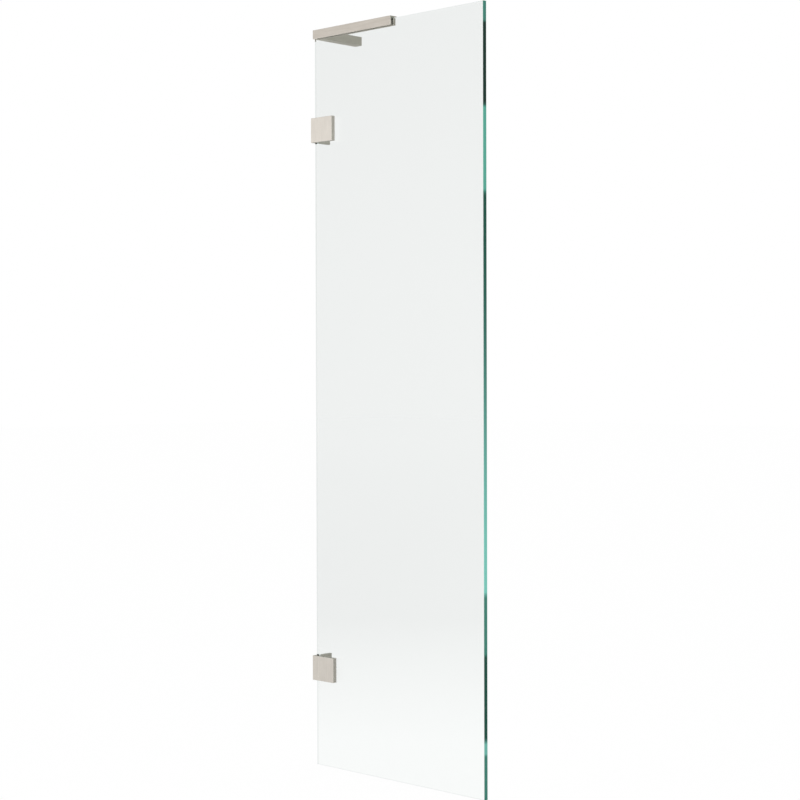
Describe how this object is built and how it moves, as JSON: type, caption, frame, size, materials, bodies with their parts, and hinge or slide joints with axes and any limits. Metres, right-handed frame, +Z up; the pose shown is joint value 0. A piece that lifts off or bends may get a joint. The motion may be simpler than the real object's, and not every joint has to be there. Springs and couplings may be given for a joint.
{
  "type": "fixed bath screen",
  "caption": "Frameless fixed glass bath screen, held at its wall edge by square brushed nickel clamp brackets and along its top by an angle bar that returns on the wall.",
  "frame": {"origin": "middle of the glass's bottom edge, half-way through its thickness, on the bath rim", "axes": "+X along the glass from the wall to the free edge, +Y square to the glass towards the side that the wall legs are on, +Z up"},
  "size_m": [0.462, 0.132, 1.505],
  "materials": {
    "glass": "clear toughened float glass with a green tint in its thickness, ground and polished edges",
    "brushed_nickel": "brushed nickel, a warm satin grey with fine lengthwise brushing",
    "screw_steel": "plain stainless steel, lightly turned",
    "strip_steel": "milled stainless steel",
    "dark_rubber": "matt dark rubber",
    "clear_pad": "matt translucent grey elastomer",
    "nylon": "matt natural nylon"
  },
  "bodies": {
    "root": {"glass_panel": "glass", "angle_bar": "brushed_nickel", "upper_bracket": "brushed_nickel", "lower_bracket": "brushed_nickel", "upper_clamp_plate": "brushed_nickel", "lower_clamp_plate": "brushed_nickel", "upper_clamp_screws": "screw_steel", "lower_clamp_screws": "screw_steel", "rail_grub_screws": "screw_steel", "strip_grub_screws": "screw_steel", "wall_strip": "strip_steel", "rail_gasket": "dark_rubber", "upper_neck_block": "dark_rubber", "lower_neck_block": "dark_rubber", "upper_front_pad": "clear_pad", "lower_front_pad": "clear_pad", "upper_back_pad": "clear_pad", "lower_back_pad": "clear_pad", "upper_screw_sleeves": "nylon", "lower_screw_sleeves": "nylon"}
  },
  "joints": []
}
